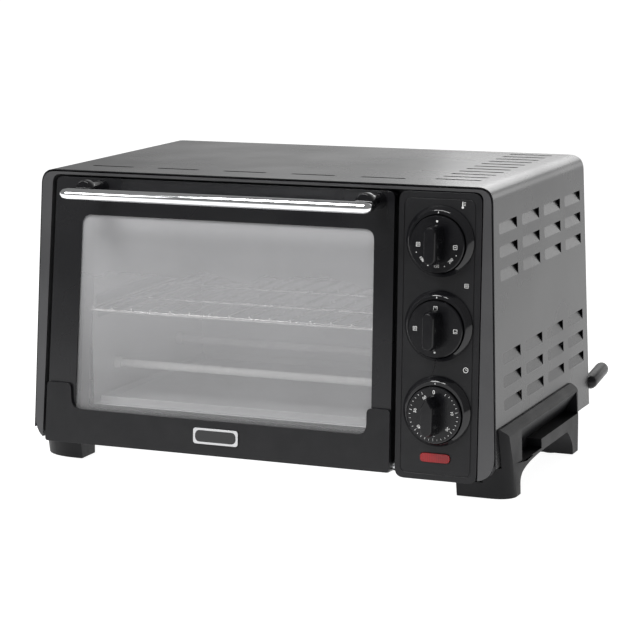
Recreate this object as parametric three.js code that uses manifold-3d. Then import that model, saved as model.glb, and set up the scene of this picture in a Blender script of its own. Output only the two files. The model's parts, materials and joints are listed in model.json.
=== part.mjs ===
// Countertop toaster oven: a tapered steel wrap case, a glass door that leans back three degrees,
// a control panel with three knobs, a light liner with a wire rack and four heating rods.
// Millimetres, +X to the viewer's right, front towards -Y, +Z up. It is drawn with the feet standing on
// z = FOOT_BASE, and lifted at the end so that they stand on z = 0.
// Everything on the front (frame, door, panel, knobs) is drawn upright in a "front" group that
// then leans back by LEAN about the line y = 0, z = PIVOT_Z.
import * as THREE from 'three';
import { mergeVertices } from 'three/addons/utils/BufferGeometryUtils.js';
import Module from 'manifold-3d';

const wasm = await Module();
wasm.setup();
const { Manifold, Mesh } = wasm;

// ---------------------------------------------------------------- driving dimensions
const GAP = 0.3;                      // clearance between neighbouring pieces
const LEAN = THREE.MathUtils.degToRad(3.3);
const PIVOT_Z = 20;

const CASE_TOP = 279;                 // top of the case
const CASE_BOTTOM = 30;               // lower edge of the wrap
const CASE_HALF_WIDTH = 235;          // at the lower edge
const CASE_TAPER = 0.036;             // each side leans in by this much per mm of height
const CASE_BACK = 288;
const CASE_FRONT = 2;                 // front edge of the wrap, in the leaning frame
const CASE_CORNER = 14;
const CASE_CORNER_SEGMENTS = 8;
const SHEET = 0.9;

const DOOR_BOTTOM = 18;
const DOOR_TOP = 273;
const DOOR_LEFT_LOW = -220.8;         // left edge at the bottom
const DOOR_SLOPE = 0.048;             // the left edge runs with the tapered case
const DOOR_RIGHT = 134.6;
const DOOR_THICK = 12;
const HINGE_Y = 8;
const HINGE_Z = 24;
const PIN_RADIUS = 3;

const WINDOW_BOTTOM = 44;
const WINDOW_TOP = 238;
const WINDOW_LEFT_LOW = -190;
const WINDOW_SLOPE = 0.044;
const WINDOW_RIGHT = 115.5;
const GLASS_MARGIN = 8;               // how far the glass reaches past the window on each side

const WALL_FRONT = 18;                // inner front wall, in the leaning frame
const WALL_BACK = 20;

const PANEL_LEFT = 139;
const PANEL_RIGHT = 217;
const PANEL_BOTTOM = 15;
const PANEL_TOP = 274;
const KNOB_X = 178.8;
const KNOB_HEIGHTS = [228.4, 152.8, 75.9];
const BEZEL_RISE = 2.3;               // each bezel ring sits this much above its knob's axis
const BEZEL_RADIUS = 32;
const BEZEL_INNER = 26.6;
const BEZEL_FRONT = -6.6;
const DIAL_RADIUS = 25.6;
const SHAFT_RADIUS = 3;
const DIAL_FACE = -9.6;               // front of the dial, ahead of the panel
const GRIP_FRONT = -29.5;
const GRIP_SIZE = [8.6, 31];          // width and height of the grip's front face
const GRIP_FLARE = 2.4;               // how much wider it is on each side at the dial

const CAVITY_LEFT = -186;
const CAVITY_RIGHT = 118;
const CAVITY_FLOOR = 50;
const CAVITY_ROOF = 238;
const CAVITY_BACK = 272;
const CAVITY_FRONT = 34;              // front rim of the liner, clear of the leaning wall

const RACK_Z = 145;
const RACK_FRONT_Y = 22.4;
const RACK_BACK_Y = 258;
const RACK_WIRE = 1.8;

const ROD_RADIUS = 4;
const ROD_PLACES = [
  ['lower_front', 80, 82], ['lower_rear', 214, 82], ['upper_front', 80, 230], ['upper_rear', 214, 230],
];

const HANDLE_Z = 264;
const HANDLE_BAR_Z = 260.5;
const HANDLE_BAR_Y = -42;
const HANDLE_BAR_RADIUS = 5.3;
const STANDOFF_X = [-160.7, 119.5];
const HANDLE_BAR_ENDS = [-181, 130];

const MOULD_TOP = 64;
const MOULD_OUT = 244.5;              // outer face of the mouldings at the worktop
const RIDGE_X = 242;                  // the edge where the sloping shoulder meets the outer face
const RIDGE_Z = 58.5;
const ARCH_TOP = 24;                  // underside of the moulding between its feet
const GRIP_SHELF_TOP = 35;            // the carrying shelf below the scooped grip
const GRIP_SHELF_ENDS = [107, 223];
const GRIP_WALL_X = 229;              // how deep the scoop goes behind the shelf
const NOTCH_ENDS = [53.4, 225.6];     // the case side is cut away behind the scoop
const NOTCH_TOP = 54;
const MOULD_FRONT = 8;                // front of the mouldings at their top
const MOULD_RAKE = 9;                 // degrees by which their front slopes back towards the foot
const CORNER_RIGHT = 21;              // rounding of the front corner, seen from above
const CORNER_LEFT = 45;
const FOOT_INNER = 192;
const FOOT_BASE = -2.5;
const PAD_PROUD = 0.6;                // the rubber pads stand out of the feet by this much
const PAD_HEIGHT = 3;
const PAD_RADIUS = 8;
const PAD_PLACES = [
  ['front_left', -212, 31], ['front_right', 218, 31], ['rear_left', -220, 211], ['rear_right', 220, 211],
];

const REAR_Y = 284;                   // front of the rear panel
const REAR_SHEET = 1;
const SPACER_X = 233.5;               // the two rear bars that keep the oven off a wall
const SPACER_FRONT_Y = 296.5;
const SPACER_FRONT_Z = 50.5;
const SPACER_RADIUS = 7;
const SPACER_TILT = THREE.MathUtils.degToRad(8);
const SPACER_END = 342;
const SPACER_ARM_X = 212;             // inner end of the arm that is bolted to the rear panel
const SPACER_BOLT = 3;
const SCREW_RADIUS = 2;
const SCREW_PLACES = [[-206, 258], [206, 258], [-206, 90], [206, 90]];
const GLAND_X = 178;
const GLAND_Z = 62;
const GLAND_RADIUS = 7;
const PLATE_Z = 27.6;                 // underside of the bottom plate
const PLATE_REACH = 225.3;

const SLOT_LENGTH = 44;
const SLOT_WIDTH = 4.5;
const SLOT_PITCH_X = 69.4;
const SLOT_PITCH_Y = 20.9;
const SLOT_ROWS = 11;
const SLOT_FIRST_X = -191.6;
const SLOT_FIRST_Y = 54;
const LOUVRE_LENGTH = 50;
const LOUVRE_HEIGHT = 10.4;
const LOUVRE_DEPTH = 4;               // the tongue is pushed in this far along its top edge
const LOUVRE_FIRST_Y = 29;
const LOUVRE_PITCH_Y = 64.6;
const LOUVRE_TOPS = [246, 225, 204, 129, 108, 87];

const PAN_SKIN = 1.5;                 // the door is a shallow pressed pan
const GLASS_THICK = 3.2;
const INNER_PLATE = 0.8;
const TRIM_FRONT = -3;
const TRIM_LOW_TOP = 51.5;
const TRIM_ARM_TOP = 76;
const BADGE_X = -38.4;
const BADGE_Z = 37;
const LENS_Z = 35.7;
const LENS_HALF = 14.2;
const LENS_RADIUS = 4;

const halfWidth = (z) => CASE_HALF_WIDTH - CASE_TAPER * (z - CASE_BOTTOM);
const doorLeft = (z) => DOOR_LEFT_LOW + DOOR_SLOPE * (z - DOOR_BOTTOM);
const windowLeft = (z) => WINDOW_LEFT_LOW + WINDOW_SLOPE * (z - WINDOW_BOTTOM);

// ---------------------------------------------------------------- materials
const finish = (color, roughness, metalness, extra = {}) =>
  new THREE.MeshStandardMaterial({ color, roughness, metalness, ...extra });
const BLACK_PAINT = finish(0x26272a, 0.45, 0.2);
const BLACK_PLASTIC = finish(0x1f2022, 0.55, 0.0);
const GLOSS_BLACK = finish(0x141416, 0.15, 0.0);
const CHROME = finish(0xd8dadd, 0.12, 1.0);
const STEEL = finish(0xb6b9bd, 0.35, 1.0);
const ALUMINISED = finish(0xc9ccce, 0.4, 0.8);
const GLASS = finish(0x3a3d40, 0.05, 0.0, { transparent: true, opacity: 0.4 });
const RED_LENS = finish(0xb3161b, 0.2, 0.0);
const CERAMIC = finish(0xe6e1d6, 0.6, 0.0);
const QUARTZ = finish(0xd9d4cc, 0.35, 0.1);
const RUBBER = finish(0x101011, 0.9, 0.0);
const BRASS = finish(0xb8964f, 0.3, 1.0);
const SATIN = finish(0xc4c6c8, 0.3, 0.9);

// ---------------------------------------------------------------- helpers
function toSolid(geometry) {
  const bare = new THREE.BufferGeometry();
  bare.setAttribute('position', geometry.getAttribute('position').clone());
  if (geometry.index) bare.setIndex(geometry.index.clone());
  const merged = mergeVertices(bare, 1e-4);
  const mesh = new Mesh({
    numProp: 3,
    vertProperties: new Float32Array(merged.getAttribute('position').array),
    triVerts: new Uint32Array(merged.index.array),
  });
  return new Manifold(mesh);
}

function toGeometry(solid) {
  const mesh = solid.getMesh();
  const geometry = new THREE.BufferGeometry();
  const points = new Float32Array(mesh.vertProperties.length / mesh.numProp * 3);
  for (let i = 0; i < points.length / 3; i += 1) {
    for (let k = 0; k < 3; k += 1) points[3 * i + k] = mesh.vertProperties[i * mesh.numProp + k];
  }
  geometry.setAttribute('position', new THREE.BufferAttribute(points, 3));
  geometry.setIndex(new THREE.BufferAttribute(new Uint32Array(mesh.triVerts), 1));
  const flat = geometry.toNonIndexed();
  flat.computeVertexNormals();
  return flat;
}

function join(first, ...others) {
  return others.reduce((sum, other) => sum.add(other), first);
}

function cut(body, ...tools) {
  return tools.reduce((rest, tool) => rest.subtract(tool), body);
}

function box(x0, x1, y0, y1, z0, z1) {
  const geometry = new THREE.BoxGeometry(x1 - x0, y1 - y0, z1 - z0);
  geometry.translate((x0 + x1) / 2, (y0 + y1) / 2, (z0 + z1) / 2);
  return toSolid(geometry);
}

// corners: [x, y, radius] in order; each corner is rounded with a curve from edge to edge
function outline(corners) {
  const shape = new THREE.Shape();
  corners.forEach(([x, y, radius = 0], i) => {
    const here = new THREE.Vector2(x, y);
    const before = corners[(i + corners.length - 1) % corners.length];
    const after = corners[(i + 1) % corners.length];
    const back = new THREE.Vector2(before[0], before[1]).sub(here).normalize();
    const ahead = new THREE.Vector2(after[0], after[1]).sub(here).normalize();
    const enter = here.clone().addScaledVector(back, radius);
    const leave = here.clone().addScaledVector(ahead, radius);
    if (i === 0) shape.moveTo(enter.x, enter.y);
    else shape.lineTo(enter.x, enter.y);
    if (radius > 0) shape.quadraticCurveTo(x, y, leave.x, leave.y);
  });
  shape.closePath();
  return shape;
}

const [ALONG_X, ALONG_Y, ALONG_Z] = [[1, 0, 0], [0, 1, 0], [0, 0, 1]].map((v) => new THREE.Vector3(...v));
const AXES = {
  x: new THREE.Matrix4().makeBasis(ALONG_Y, ALONG_Z, ALONG_X),
  y: new THREE.Matrix4().makeRotationX(Math.PI / 2),
  z: new THREE.Matrix4(),
};

// An outline swept along one axis. Along x it is drawn in (y, z), along y in (x, z), along z in (x, y).
function prism(corners, axis, from, to, curveSegments = 5) {
  const shape = Array.isArray(corners) ? outline(corners) : corners;
  const geometry = new THREE.ExtrudeGeometry(shape, { depth: to - from, bevelEnabled: false, curveSegments });
  geometry.applyMatrix4(AXES[axis]);
  const start = { x: [from, 0, 0], y: [0, to, 0], z: [0, 0, from] }[axis];
  geometry.translate(...start);
  return toSolid(geometry);
}

// A round bar along one axis; centre is given by the two other coordinates.
function round(axis, radius, from, to, centre, segments = 20, endRadius = radius) {
  const geometry = new THREE.CylinderGeometry(endRadius, radius, to - from, segments);
  if (axis === 'x') geometry.rotateZ(-Math.PI / 2);
  if (axis === 'z') geometry.rotateX(Math.PI / 2);
  const middle = (from + to) / 2;
  const place = {
    x: [middle, centre[0], centre[1]],
    y: [centre[0], middle, centre[1]],
    z: [centre[0], centre[1], middle],
  }[axis];
  geometry.translate(...place);
  return toSolid(geometry);
}

// A turned piece about a line along y: profile is [radius, y], in either direction.
function turned(profile, centre, segments = 24) {
  const points = profile.map(([radius, y]) => new THREE.Vector2(radius, y));
  if (THREE.ShapeUtils.area(points) < 0) points.reverse();
  const geometry = new THREE.LatheGeometry(points, segments);
  geometry.translate(centre[0], 0, centre[1]);
  return toSolid(geometry);
}

function node(name, solid, material) {
  const mesh = new THREE.Mesh(toGeometry(solid), material);
  mesh.name = name;
  return mesh;
}

const mirrorX = (solid) => solid.mirror([1, 0, 0]);

// ---------------------------------------------------------------- case
// the leaning plane that trims the front of pieces drawn upright
function frontTrim(y) {
  const reach = 400;
  const blank = new THREE.BoxGeometry(2 * reach, reach, 2 * reach);
  blank.translate(0, y - reach / 2, 0);
  blank.rotateX(-LEAN);
  blank.translate(0, 0, PIVOT_Z);
  return toSolid(blank);
}

function caseBand() {
  const top = halfWidth(CASE_TOP);
  const low = halfWidth(CASE_BOTTOM);
  const band = [
    [low, CASE_BOTTOM], [top, CASE_TOP, CASE_CORNER], [-top, CASE_TOP, CASE_CORNER], [-low, CASE_BOTTOM],
    [SHEET - low, CASE_BOTTOM], [SHEET - top, CASE_TOP - SHEET, CASE_CORNER - SHEET],
    [top - SHEET, CASE_TOP - SHEET, CASE_CORNER - SHEET], [low - SHEET, CASE_BOTTOM],
  ];
  return prism(band, 'y', -10, CASE_BACK, CASE_CORNER_SEGMENTS);
}

function topSlot(x, y) {
  const r = SLOT_WIDTH / 2 - 0.01;
  const corners = [[x, y - r, r], [x + SLOT_LENGTH, y - r, r], [x + SLOT_LENGTH, y + r, r], [x, y + r, r]];
  return prism(corners, 'z', CASE_TOP - 6, CASE_TOP + 2, 2);
}

function topSlots() {
  const slots = [];
  for (let column = 0; column < 5; column += 1) {
    slots.push(topSlot(SLOT_FIRST_X + column * SLOT_PITCH_X, SLOT_FIRST_Y));
  }
  for (let row = 0; row < SLOT_ROWS; row += 1) {
    slots.push(topSlot(SLOT_FIRST_X + 5 * SLOT_PITCH_X, SLOT_FIRST_Y + 8 + row * SLOT_PITCH_Y));
  }
  return slots;
}

// One pressed louvre on the right side: a tongue pushed inwards along its top edge, open at the top and rear.
function louvre(y, top) {
  const low = top - LOUVRE_HEIGHT;
  const rear = y + LOUVRE_LENGTH;
  const deep = halfWidth(top) - LOUVRE_DEPTH;
  const skin = 1;
  const tongue = prism([
    [halfWidth(low) - 0.3, low - skin], [deep - skin, top - 0.3], [deep - skin, top + skin],
    [halfWidth(top) - 0.3, top + skin],
  ], 'y', y - skin, rear - GAP);
  const wedge = prism([
    [halfWidth(low), low], [deep, top], [CASE_HALF_WIDTH + 5, top], [CASE_HALF_WIDTH + 5, low],
  ], 'y', y - 1, rear + 1);
  const mouth = prism([[y, low, 4], [rear, low], [rear, top], [y, top, 3]], 'x', 200, 250, 3);
  return { tongue, mouth: wedge.intersect(mouth) };
}

function outerCase() {
  const tongues = [];
  const mouths = [];
  for (const top of LOUVRE_TOPS) {
    for (let column = 0; column < 4; column += 1) {
      const { tongue, mouth } = louvre(LOUVRE_FIRST_Y + column * LOUVRE_PITCH_Y, top);
      tongues.push(tongue, mirrorX(tongue));
      mouths.push(mouth, mirrorX(mouth));
    }
  }
  const notch = box(220, 250, ...NOTCH_ENDS, CASE_BOTTOM - 5, NOTCH_TOP);
  const body = cut(caseBand(), ...topSlots(), frontTrim(CASE_FRONT), notch, mirrorX(notch));
  return cut(join(body, ...tongues), ...mouths);
}

function insideOutline(bottom, inset) {
  const top = CASE_TOP - SHEET - inset;
  const margin = SHEET + inset;
  const corner = CASE_CORNER - SHEET;
  return [
    [halfWidth(bottom) - margin, bottom], [halfWidth(top) - margin, top, corner],
    [margin - halfWidth(top), top, corner], [margin - halfWidth(bottom), bottom],
  ];
}

function rearPanel() {
  const front = REAR_Y - 2;
  const back = REAR_Y + 4;
  const plate = prism(insideOutline(CASE_BOTTOM, GAP), 'y', REAR_Y, REAR_Y + REAR_SHEET);
  const vents = [];
  for (const low of [216, 232]) {
    for (let i = 0; i < 9; i += 1) vents.push(box(-176 + i * 40, -152 + i * 40, front, back, low, low + 5));
  }
  const holes = [-1, 1].map((side) => {
    return round('y', SPACER_BOLT + GAP, front, back, [side * (SPACER_ARM_X + 6), SPACER_FRONT_Z], 12);
  });
  const gland = round('y', GLAND_RADIUS + GAP, front, back, [GLAND_X, GLAND_Z], 16);
  const screws = SCREW_PLACES.map((place) => round('y', SCREW_RADIUS + GAP, front, back, place, 10));
  return cut(plate, ...vents, ...holes, gland, ...screws);
}

function rearScrew([x, z]) {
  const profile = [
    [0, REAR_Y - 8], [SCREW_RADIUS, REAR_Y - 8], [SCREW_RADIUS, REAR_Y + REAR_SHEET + GAP],
    [4, REAR_Y + REAR_SHEET + GAP], [3.2, REAR_Y + 3.4], [0, REAR_Y + 3.7],
  ];
  return turned(profile, [x, z], 8);
}

// A stubby bar that rises to the rear, on an arm bolted to the rear panel; this is the right one.
function rearSpacer() {
  const y = REAR_Y + REAR_SHEET + GAP;
  const length = (SPACER_END - SPACER_FRONT_Y - SPACER_RADIUS) / Math.cos(SPACER_TILT);
  const capsule = new THREE.CapsuleGeometry(SPACER_RADIUS, length, 4, 18);
  capsule.translate(0, length / 2, 0);
  capsule.rotateX(SPACER_TILT);
  capsule.translate(SPACER_X, SPACER_FRONT_Y, SPACER_FRONT_Z);
  const half = SPACER_RADIUS - 1;
  const arm = prism([
    [SPACER_ARM_X, y, 2], [SPACER_X, y], [SPACER_X, SPACER_FRONT_Y + 4], [SPACER_ARM_X, y + 6, 3],
  ], 'z', SPACER_FRONT_Z - half, SPACER_FRONT_Z + half, 3);
  const bolt = round('y', SPACER_BOLT, y - 7, y + 1, [SPACER_ARM_X + 6, SPACER_FRONT_Z], 12);
  const caseEdge = box(SPACER_X - 3, 250, y - 8, CASE_BACK + GAP, 20, 80);
  return cut(join(toSolid(capsule), arm, bolt), caseEdge);
}

function cordGland() {
  const y = REAR_Y + REAR_SHEET + GAP;
  const bore = 3.8;
  const profile = [
    [bore, y - 9], [GLAND_RADIUS, y - 9], [GLAND_RADIUS, y], [11, y], [11, y + 2.5], [8, y + 3.5],
    [6.5, y + 13], [bore, y + 13], [bore, y - 9],
  ];
  return turned(profile, [GLAND_X, GLAND_Z], 14);
}

function bottomPlate() {
  const back = REAR_Y - GAP;
  const front = 24;
  const tray = box(-PLATE_REACH, PLATE_REACH, front, back, PLATE_Z, PLATE_Z + 12);
  const inside = box(
    SHEET - PLATE_REACH, PLATE_REACH - SHEET, front + SHEET, back - SHEET, PLATE_Z + SHEET, PLATE_Z + 20,
  );
  const slots = [];
  for (let i = 0; i < 6; i += 1) {
    const x = -160 + i * 46;
    slots.push(box(x, x + 28, 120, 126, PLATE_Z - 2, PLATE_Z + 4));
  }
  return cut(tray, inside, ...slots);
}

// ---------------------------------------------------------------- liner, rack, rods
function cavityLiner() {
  const sheet = 0.7;
  const outer = box(
    CAVITY_LEFT - sheet, CAVITY_RIGHT + sheet, CAVITY_FRONT, CAVITY_BACK + sheet,
    CAVITY_FLOOR - sheet, CAVITY_ROOF + sheet,
  );
  const inner = box(CAVITY_LEFT, CAVITY_RIGHT, CAVITY_FRONT - 5, CAVITY_BACK, CAVITY_FLOOR, CAVITY_ROOF);
  const holes = ROD_PLACES.map(([, y, z]) => {
    return round('x', ROD_RADIUS + 1, CAVITY_LEFT - 10, CAVITY_RIGHT + 10, [y, z], 16);
  });
  const bulb = round('x', 2.6, CAVITY_RIGHT - 5, CAVITY_RIGHT + 10, [150, 200], 10);
  return cut(outer, inner, ...holes, bulb);
}

function heatingRod([, y, z]) {
  const reach = 11;
  const left = CAVITY_LEFT - reach;
  const right = CAVITY_RIGHT + 4.4;
  const tube = round('x', ROD_RADIUS, left, right, [y, z], 10);
  const caps = [[CAVITY_LEFT + GAP, CAVITY_LEFT + 7], [CAVITY_RIGHT - 7, CAVITY_RIGHT - GAP]];
  return join(tube, ...caps.map(([from, to]) => round('x', ROD_RADIUS + 2, from, to, [y, z], 10)));
}

function rackGuide(side) {
  const wall = side < 0 ? CAVITY_LEFT : CAVITY_RIGHT;
  const top = RACK_Z - RACK_WIRE - GAP;
  const near = wall - side * GAP;
  const far = wall - side * 10;
  const ledge = box(Math.min(near, far), Math.max(near, far), 42, 264, top - 1.2, top);
  const web = [Math.min(near, near - side * 1.2), Math.max(near, near - side * 1.2)];
  return join(ledge, box(web[0], web[1], 42, 264, top - 10, top + 12));
}

function wireRack() {
  const left = CAVITY_LEFT + 8;
  const right = CAVITY_RIGHT - 8;
  const front = round('x', RACK_WIRE, windowLeft(RACK_Z) + 1.5, WINDOW_RIGHT - 2, [RACK_FRONT_Y, RACK_Z], 8);
  const crossing = [96, 178, RACK_BACK_Y].map((y) => {
    return round('x', RACK_WIRE, left - 1, right + 1, [y, RACK_Z], 8);
  });
  const sides = [left, right].map((x) => round('y', RACK_WIRE, RACK_FRONT_Y, RACK_BACK_Y, [x, RACK_Z], 8));
  const wires = [];
  const fine = 1.3;
  const count = 14;
  for (let i = 0; i <= count; i += 1) {
    const x = left + (right - left) * i / count;
    wires.push(round('y', fine, RACK_FRONT_Y - 1, RACK_BACK_Y + 1, [x, RACK_Z + RACK_WIRE + fine - 0.6], 6));
  }
  return join(front, ...crossing, ...sides, ...wires);
}

function crumbTray() {
  const x0 = CAVITY_LEFT + 5;
  const x1 = CAVITY_RIGHT - 5;
  const z = CAVITY_FLOOR + GAP;
  const pan = box(x0, x1, 38, 266, z, z + 7);
  return cut(pan, box(x0 + 1, x1 - 1, 39, 265, z + 1, z + 20));
}

function heatShield() {
  const plate = box(126, 127.2, 38, REAR_Y - 2, 42, 262);
  const foot = box(126, 138, 38, REAR_Y - 2, 42, 43.2);
  const vents = [0, 1, 2, 3, 4].map((i) => box(120, 130, 66 + i * 40, 90 + i * 40, 244, 250));
  return cut(join(plate, foot), ...vents);
}

function thermostatBulb() {
  return round('x', 2.2, CAVITY_RIGHT - 60, CAVITY_RIGHT + 6, [150, 200], 10);
}

// ---------------------------------------------------------------- front frame
function frontFrame() {
  const low = 17;
  const lowCorner = 24;
  const high = CASE_TOP - SHEET - 2 * GAP;
  const highCorner = 12.5;
  const side = (z) => halfWidth(z) - SHEET - 2 * GAP;
  const rim = prism([
    [side(low), low, lowCorner], [side(high), high, highCorner],
    [-side(high), high, highCorner], [-side(low), low, lowCorner],
  ], 'y', 1, WALL_BACK, 7);
  const doorGap = 5;
  const panelGap = 0.7;
  const pocket = prism([
    [PANEL_RIGHT + panelGap, 0], [PANEL_RIGHT + panelGap, DOOR_TOP + 2, 8],
    [doorLeft(DOOR_TOP) - doorGap, DOOR_TOP + 2, 8], [doorLeft(0) - doorGap, 0],
  ], 'y', -5, WALL_FRONT);
  const opening = prism([
    [CAVITY_RIGHT - 3, CAVITY_FLOOR + 1, 6], [CAVITY_RIGHT - 3, CAVITY_ROOF - 3, 8],
    [-177, CAVITY_ROOF - 3, 8], [-185, CAVITY_FLOOR + 1, 6],
  ], 'y', -5, WALL_BACK + 5);
  const lug = box(DOOR_RIGHT + 0.5, PANEL_LEFT - 0.5, HINGE_Y, WALL_FRONT + 1, HINGE_Z - 4.5, HINGE_Z + 4.5);
  const pins = round('x', PIN_RADIUS + GAP, -227.8, PANEL_LEFT, [HINGE_Y, HINGE_Z], 14);
  const shafts = KNOB_HEIGHTS.map((z) => round('y', 6, WALL_FRONT - 5, WALL_BACK + 5, [KNOB_X, z], 16));
  const footRoom = box(FOOT_INNER - 8, 260, MOULD_FRONT + 4, WALL_BACK + 5, 0, PLATE_Z + 2);
  const louvreRoom = box(halfWidth(CASE_TOP) - 2 * LOUVRE_DEPTH, 260, 12, WALL_BACK + 5, 70, 252);
  const rooms = [footRoom, louvreRoom].flatMap((room) => [room, mirrorX(room)]);
  return cut(join(cut(rim, pocket), lug), opening, pins, ...shafts, ...rooms);
}

function hingePin(side) {
  const [from, to] = side < 0 ? [-227.5, -212] : [126, 138];
  return round('x', PIN_RADIUS, from, to, [HINGE_Y, HINGE_Z], 14);
}

// ---------------------------------------------------------------- door
function doorOutline(inset = 0) {
  return [
    [DOOR_RIGHT - inset, DOOR_BOTTOM + inset, 3], [DOOR_RIGHT - inset, DOOR_TOP - inset, 6],
    [doorLeft(DOOR_TOP) + inset, DOOR_TOP - inset, 6],
    [doorLeft(DOOR_BOTTOM) + inset, DOOR_BOTTOM + inset, 3],
  ];
}

function windowOutline(grow, radius = 10) {
  return [
    [WINDOW_RIGHT + grow, WINDOW_BOTTOM - grow, radius], [WINDOW_RIGHT + grow, WINDOW_TOP + grow, radius],
    [windowLeft(WINDOW_TOP) - grow, WINDOW_TOP + grow, radius],
    [windowLeft(WINDOW_BOTTOM) - grow, WINDOW_BOTTOM - grow, radius],
  ];
}

function doorFrame() {
  const slab = prism(doorOutline(), 'y', 0, DOOR_THICK);
  const inside = prism(doorOutline(PAN_SKIN), 'y', PAN_SKIN, DOOR_THICK + 5);
  const hole = prism(windowOutline(0), 'y', -5, DOOR_THICK + 5);
  const pins = round('x', PIN_RADIUS + GAP, -240, 150, [HINGE_Y, HINGE_Z], 14);
  const bolts = STANDOFF_X.map((x) => round('y', 2.5, -5, DOOR_THICK, [x, HANDLE_Z], 10));
  return cut(slab, inside, hole, pins, ...bolts);
}

function doorGlass() {
  const front = PAN_SKIN + GAP;
  return prism(windowOutline(GLASS_MARGIN), 'y', front, front + GLASS_THICK);
}

function doorInnerFrame() {
  const plate = prism(doorOutline(PAN_SKIN + GAP), 'y', DOOR_THICK - INNER_PLATE, DOOR_THICK);
  const collar = prism(windowOutline(4), 'y', PAN_SKIN + GLASS_THICK + 2 * GAP, DOOR_THICK);
  return cut(join(plate, collar), prism(windowOutline(0.5), 'y', -5, DOOR_THICK + 5));
}

function doorTrim() {
  const outer = [
    [DOOR_RIGHT, DOOR_BOTTOM + 0.5, 3], [DOOR_RIGHT, TRIM_ARM_TOP, 3], [112, TRIM_ARM_TOP, 5],
    [112, TRIM_LOW_TOP, 10], [-191.5, TRIM_LOW_TOP, 10], [-192.5, TRIM_ARM_TOP, 5],
    [doorLeft(TRIM_ARM_TOP), TRIM_ARM_TOP, 3], [doorLeft(DOOR_BOTTOM), DOOR_BOTTOM + 0.5, 3],
  ];
  return prism(outer, 'y', TRIM_FRONT, -GAP);
}

function badge() {
  const w = 23;
  const h = 7.5;
  const plate = [
    [BADGE_X + w, BADGE_Z - h, 3], [BADGE_X + w, BADGE_Z + h, 3],
    [BADGE_X - w, BADGE_Z + h, 3], [BADGE_X - w, BADGE_Z - h, 3],
  ];
  return prism(plate, 'y', TRIM_FRONT - GAP - 1.2, TRIM_FRONT - GAP);
}

function handleStandoff(x) {
  const neck = [
    [0, 8], [2.2, 8], [2.2, -GAP], [8, -GAP], [6.6, -4], [6.2, -24], [9.2, -27],
    [9.2, -34], [8.2, -36], [0, -36],
  ];
  const groove = round('x', HANDLE_BAR_RADIUS + GAP, x - 20, x + 20, [HANDLE_BAR_Y, HANDLE_BAR_Z], 24);
  return cut(turned(neck, [x, HANDLE_Z], 18), groove);
}

function handleBar() {
  const [left, right] = HANDLE_BAR_ENDS;
  const r = HANDLE_BAR_RADIUS;
  const profile = [
    [0, left], [r - 2.7, left + 0.6], [r - 0.9, left + 3], [r, left + 8],
    [r, right - 8], [r - 0.9, right - 3], [r - 2.7, right - 0.6], [0, right],
  ];
  const geometry = new THREE.LatheGeometry(profile.map(([radius, x]) => new THREE.Vector2(radius, x)), 28);
  geometry.rotateZ(-Math.PI / 2);
  geometry.translate(0, HANDLE_BAR_Y, HANDLE_BAR_Z);
  return toSolid(geometry);
}

// A small hook on the inner face of the door that draws the rack out as the door opens.
function pullHook(side) {
  const x = side < 0 ? windowLeft(RACK_Z) - 5 : WINDOW_RIGHT + 2.4;
  const z = RACK_Z + 10;
  const foot = box(x, x + 2.6, DOOR_THICK + GAP, DOOR_THICK + 2, z - 6, z + 10);
  const finger = box(x, x + 2.6, DOOR_THICK + GAP, DOOR_THICK + 5, z - 2, z);
  return join(foot, finger);
}

// ---------------------------------------------------------------- control panel
function stadium(x, z, half, radius) {
  const r = radius - 0.01;
  return [
    [x + half, z - radius, r], [x + half, z + radius, r],
    [x - half, z + radius, r], [x - half, z - radius, r],
  ];
}

function controlPanel() {
  const ring = (inset, radius) => [
    [PANEL_RIGHT - inset, PANEL_BOTTOM + inset, radius], [PANEL_RIGHT - inset, PANEL_TOP - inset, radius],
    [PANEL_LEFT + inset, PANEL_TOP - inset, radius], [PANEL_LEFT + inset, PANEL_BOTTOM + inset, radius],
  ];
  const block = prism(ring(0, 9), 'y', 0, WALL_FRONT - GAP);
  const hollow = prism(ring(2.5, 7), 'y', 3, WALL_FRONT + 5);
  const groove = cut(prism(ring(5.2, 7), 'y', -5, 0.6), prism(ring(6.2, 6.5), 'y', -6, 2));
  const shafts = KNOB_HEIGHTS.map((z) => round('y', 5, -5, 10, [KNOB_X, z], 16));
  const lamp = prism(stadium(KNOB_X - 1, LENS_Z, LENS_HALF + GAP, LENS_RADIUS + GAP), 'y', -5, 10, 4);
  return cut(block, hollow, groove, ...shafts, lamp);
}

function pilotLens() {
  const lens = prism(stadium(KNOB_X - 1, LENS_Z, LENS_HALF, LENS_RADIUS), 'y', -1.2, 4.5, 4);
  const lip = prism(stadium(KNOB_X - 1, LENS_Z, LENS_HALF + 2, LENS_RADIUS + 2), 'y', 3 + GAP, 4.5, 4);
  return join(lens, lip);
}

function neonLamp() {
  return round('x', 3, KNOB_X - 11, KNOB_X + 9, [9, LENS_Z], 12);
}

// A glossy ring around each knob, wider at the top because the knob turns below its centre.
function knobBezel(z) {
  const rise = z + BEZEL_RISE;
  const body = turned([
    [0, -GAP], [BEZEL_RADIUS, -GAP], [BEZEL_RADIUS, -1.4], [BEZEL_RADIUS - 0.8, -2.6],
    [BEZEL_RADIUS - 3.4, BEZEL_FRONT + 0.6], [BEZEL_RADIUS - 4.4, BEZEL_FRONT], [0, BEZEL_FRONT],
  ], [KNOB_X, rise], 40);
  const well = turned([
    [0, 2], [BEZEL_INNER - 1, 2], [BEZEL_INNER - 1, -2], [BEZEL_INNER, -4],
    [BEZEL_INNER + 0.3, -12], [0, -12],
  ], [KNOB_X, z], 40);
  return cut(body, well);
}

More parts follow.
